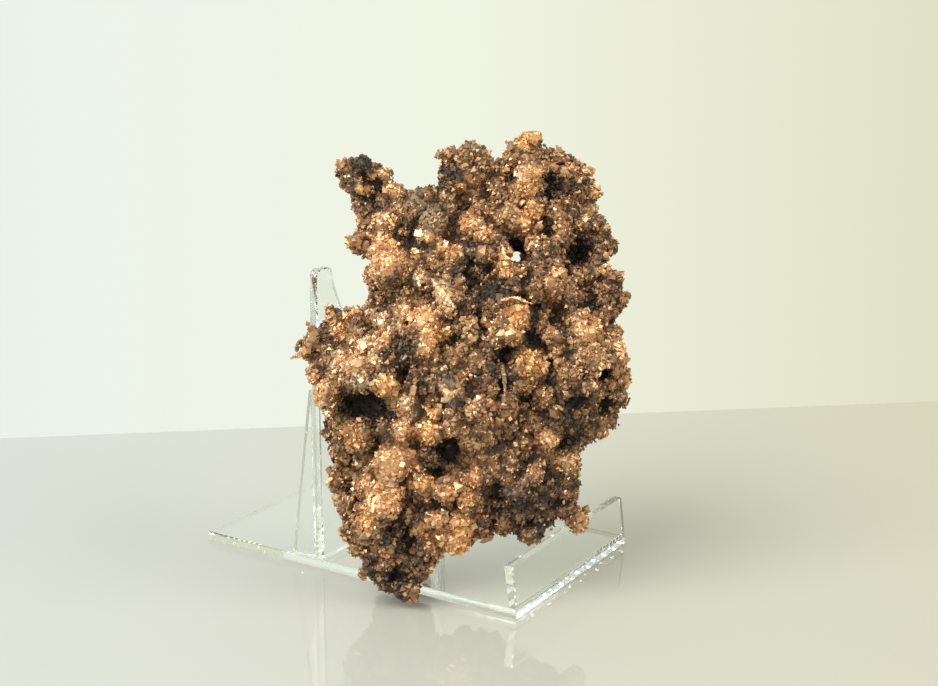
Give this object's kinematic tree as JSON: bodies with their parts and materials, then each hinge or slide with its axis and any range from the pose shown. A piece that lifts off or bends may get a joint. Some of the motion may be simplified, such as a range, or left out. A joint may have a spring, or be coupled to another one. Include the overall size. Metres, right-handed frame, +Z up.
{
  "type": "native copper nugget on display easel",
  "caption": "Rough, knobbly native copper nugget with pits, crystal crust and small holes, resting upright in a clear two-horned display easel.",
  "frame": {"origin": "centre of the whole object's footprint, on the surface that the easel stands on", "axes": "+Z up; +Y from the easel's front lip towards its upright and rear edge; +X across the easel, away from the side that the nugget overhangs"},
  "size_m": [0.1012, 0.1466, 0.1466],
  "materials": {
    "native_copper": "tarnished crystalline metal",
    "clear_acrylic": "clear polished"
  },
  "bodies": {
    "root": {"nugget": "native_copper", "stand_base": "clear_acrylic", "stand_lip": "clear_acrylic", "stand_back": "clear_acrylic", "stand_gusset_near": "clear_acrylic", "stand_gusset_far": "clear_acrylic"}
  },
  "joints": []
}
